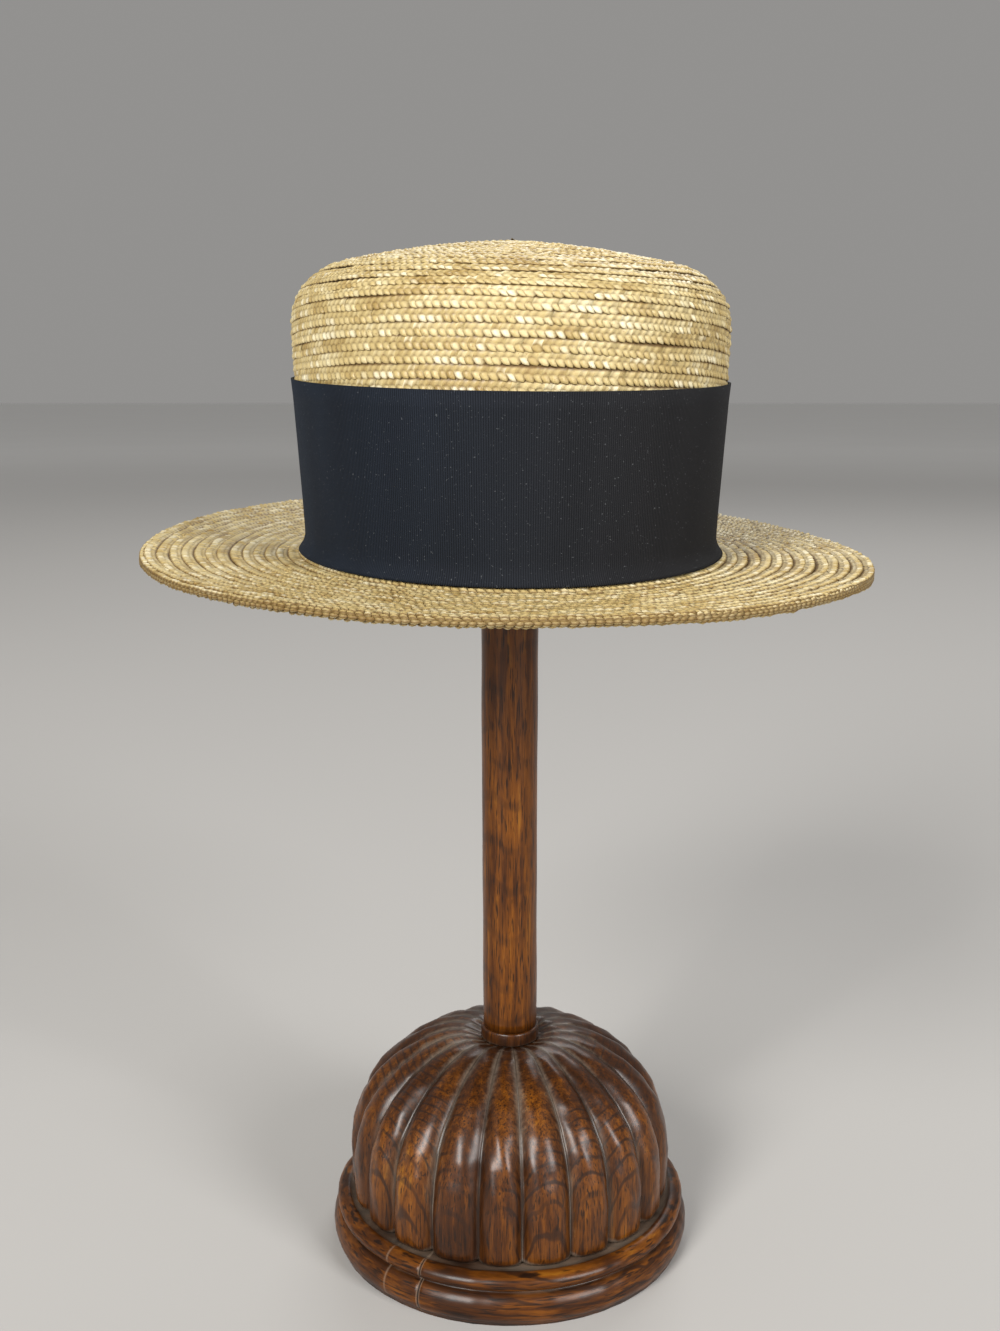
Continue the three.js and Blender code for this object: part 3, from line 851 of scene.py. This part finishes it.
def addLight(name, spot, target, size, power, colour):
    # a rectangular lamp turned to point at the target
    lamp = bpy.data.lights.new(name, "AREA")
    lamp.shape, lamp.size, lamp.size_y = "RECTANGLE", size[0], size[1]
    lamp.energy, lamp.color = power, colour
    holder = bpy.data.objects.new(name, lamp)
    bpy.context.scene.collection.objects.link(holder)
    holder.location = spot
    aim = np.array(target) - np.array(spot)
    holder.rotation_euler = (math.atan2(math.hypot(aim[0], aim[1]), -aim[2]), 0,
                             math.atan2(aim[1], aim[0]) - math.pi / 2)


# how the plait is wound, in turns unless it says mm
winding = {
    "crownStart": 1.3,          # mm from the middle of the tip
    "firstTurn": -0.95,
    "tipTurns": 17.2,           # the tip's piece ends here
    "wallTurns": 10.4,          # and the wall's this much further on
    "footMargin": 1.35,         # what is left free at the crown's foot
    "brimPitch": 4.3,           # mm
    "brimOverlap": 0.97,        # how far the brim's last turn goes round the rim
    "brimSplit": 1.5,           # what the inner piece has past the middle
    "edgeDrop": 3.6,            # mm from the brim's surface down to the second row
    "edgeReach": 0.2,           # mm that the second row passes the rim
}


def plaitCrown(shell, material):
    # one plait from the middle of the tip to the crown's foot, in three pieces
    wallStart = winding["tipTurns"]
    footStart = wallStart + winding["wallTurns"]
    last = shell.places[-1] / straw["rowPitch"] - winding["footMargin"]
    parts = (("crownTipPlait", winding["firstTurn"], wallStart, 101, False),
             ("crownWallPlait", wallStart, footStart, 102, False),
             ("crownFootPlait", footStart, last, 103, True))
    for name, first, end, seed, coarse in parts:
        piece = plaitStrip(name, shell, first, end, winding["crownStart"], seed, coarse)
        settle(piece, material, "crown")


def plaitBrim(shell, material):
    # one plait out to the rim, in two pieces, and a second row that faces down under the rim
    pitch, rim = winding["brimPitch"], shell.places[-1]
    turns = rim / pitch - 1
    middle = round(turns / 2 + winding["brimSplit"])
    last = winding["brimOverlap"]
    inner = plaitStrip("brimInnerPlait", shell, 0, middle, 0, 201, False, pitch, 0, brimSection)
    settle(inner, material, "brim")
    outer = plaitStrip("brimOuterPlait", shell, middle, turns + last, 0, 202, False, pitch, 0,
                       brimSection, rim)
    settle(outer, material, "brim")
    reach = winding["edgeReach"]
    edge = plaitStrip("brimEdgePlait", shell, 0, 1 + last, rim - 2 * pitch + reach, 203, False, pitch,
                      winding["edgeDrop"], brimSection, rim + reach)
    settle(edge, material, "brim_edge_braid")


makeCamera()
makeStage()
for name, lamp in lamps.items():
    addLight(name, *lamp)
print("camera, floor and lights are up")

crownForm, brimForm = crownShell(), brimShell()
print("hat shapes are worked out")
plaitCrown(crownForm, strawFinish("crownStraw", coat=0.22, shine=0.38, glintFrom=1.2))
print("crown is plaited")
plaitBrim(brimForm, strawFinish("brimStraw", coat=0.08, shine=0.22, glintFrom=0.8))
print("brim is plaited")
makeRibbon(crownForm, ribbonFinish())
print("ribbon is on")

carvedWood = woodFinish("carvedWood", "upright", carved=True, wax=0.62)
makeDome(carvedWood)
makeFootRing(woodFinish("turnedWood", "flat", cracks=True, carved=True))
makePost(woodFinish("postWood", "upright", carved=True, warm=0.6))
makeCollar(carvedWood)
print("stand is carved")

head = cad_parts["stand_head"]
head.data.materials.clear()
head.data.materials.append(woodFinish("plainWood", "upright"))
print("head is finished")
